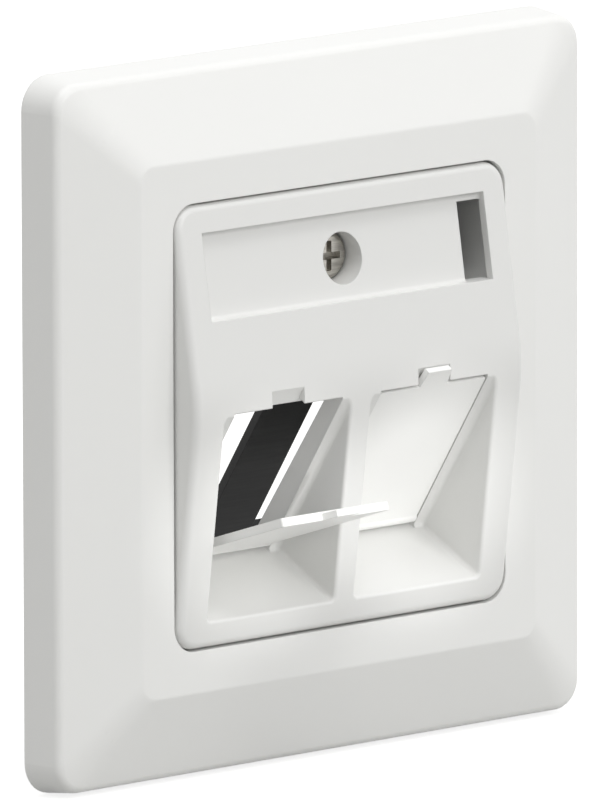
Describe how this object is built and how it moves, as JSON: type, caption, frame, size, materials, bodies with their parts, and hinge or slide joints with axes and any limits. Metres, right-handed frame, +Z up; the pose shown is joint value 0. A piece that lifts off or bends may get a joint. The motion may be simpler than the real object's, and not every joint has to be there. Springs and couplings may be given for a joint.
{
  "type": "keystone faceplate",
  "caption": "Square flush wall outlet cover with a bevelled frame and an insert whose angled keystone ports close with hinged dust flaps.",
  "frame": {"origin": "centre of the square cover in the wall plane", "axes": "+Z up, +X right as seen from the room, -Y out of the wall towards the room; the wall plane is y = 0"},
  "size_m": [0.08, 0.034, 0.08],
  "materials": {
    "frame_white": "smooth white, low sheen",
    "insert_white": "smooth white, low sheen",
    "flap_white": "smooth white, low sheen",
    "screw_steel": "zinc plated",
    "ring_steel": "zinc plated sheet, dull",
    "carrier_steel": "black finished sheet"
  },
  "bodies": {
    "outlet": {"cover_frame": "frame_white", "centre_plate": "insert_white", "centre_screw": "screw_steel", "screw_bush": "ring_steel", "support_ring": "ring_steel", "keystone_carrier": "carrier_steel", "carrier_rivets": "screw_steel"},
    "left_flap": {"dust_flap_left": "flap_white"},
    "right_flap": {"dust_flap_right": "flap_white"}
  },
  "joints": [
    {"name": "left_flap_hinge", "type": "hinge", "parent": "outlet", "child": "left_flap", "pos_m": [-0.011, 0.00076, -0.01574], "axis": [1, 0, 0], "range_deg": [-38.5, 41.5]},
    {"name": "right_flap_hinge", "type": "hinge", "parent": "outlet", "child": "right_flap", "pos_m": [0.011, 0.00076, -0.01574], "axis": [1, 0, 0], "range_deg": [0, 80]}
  ]
}
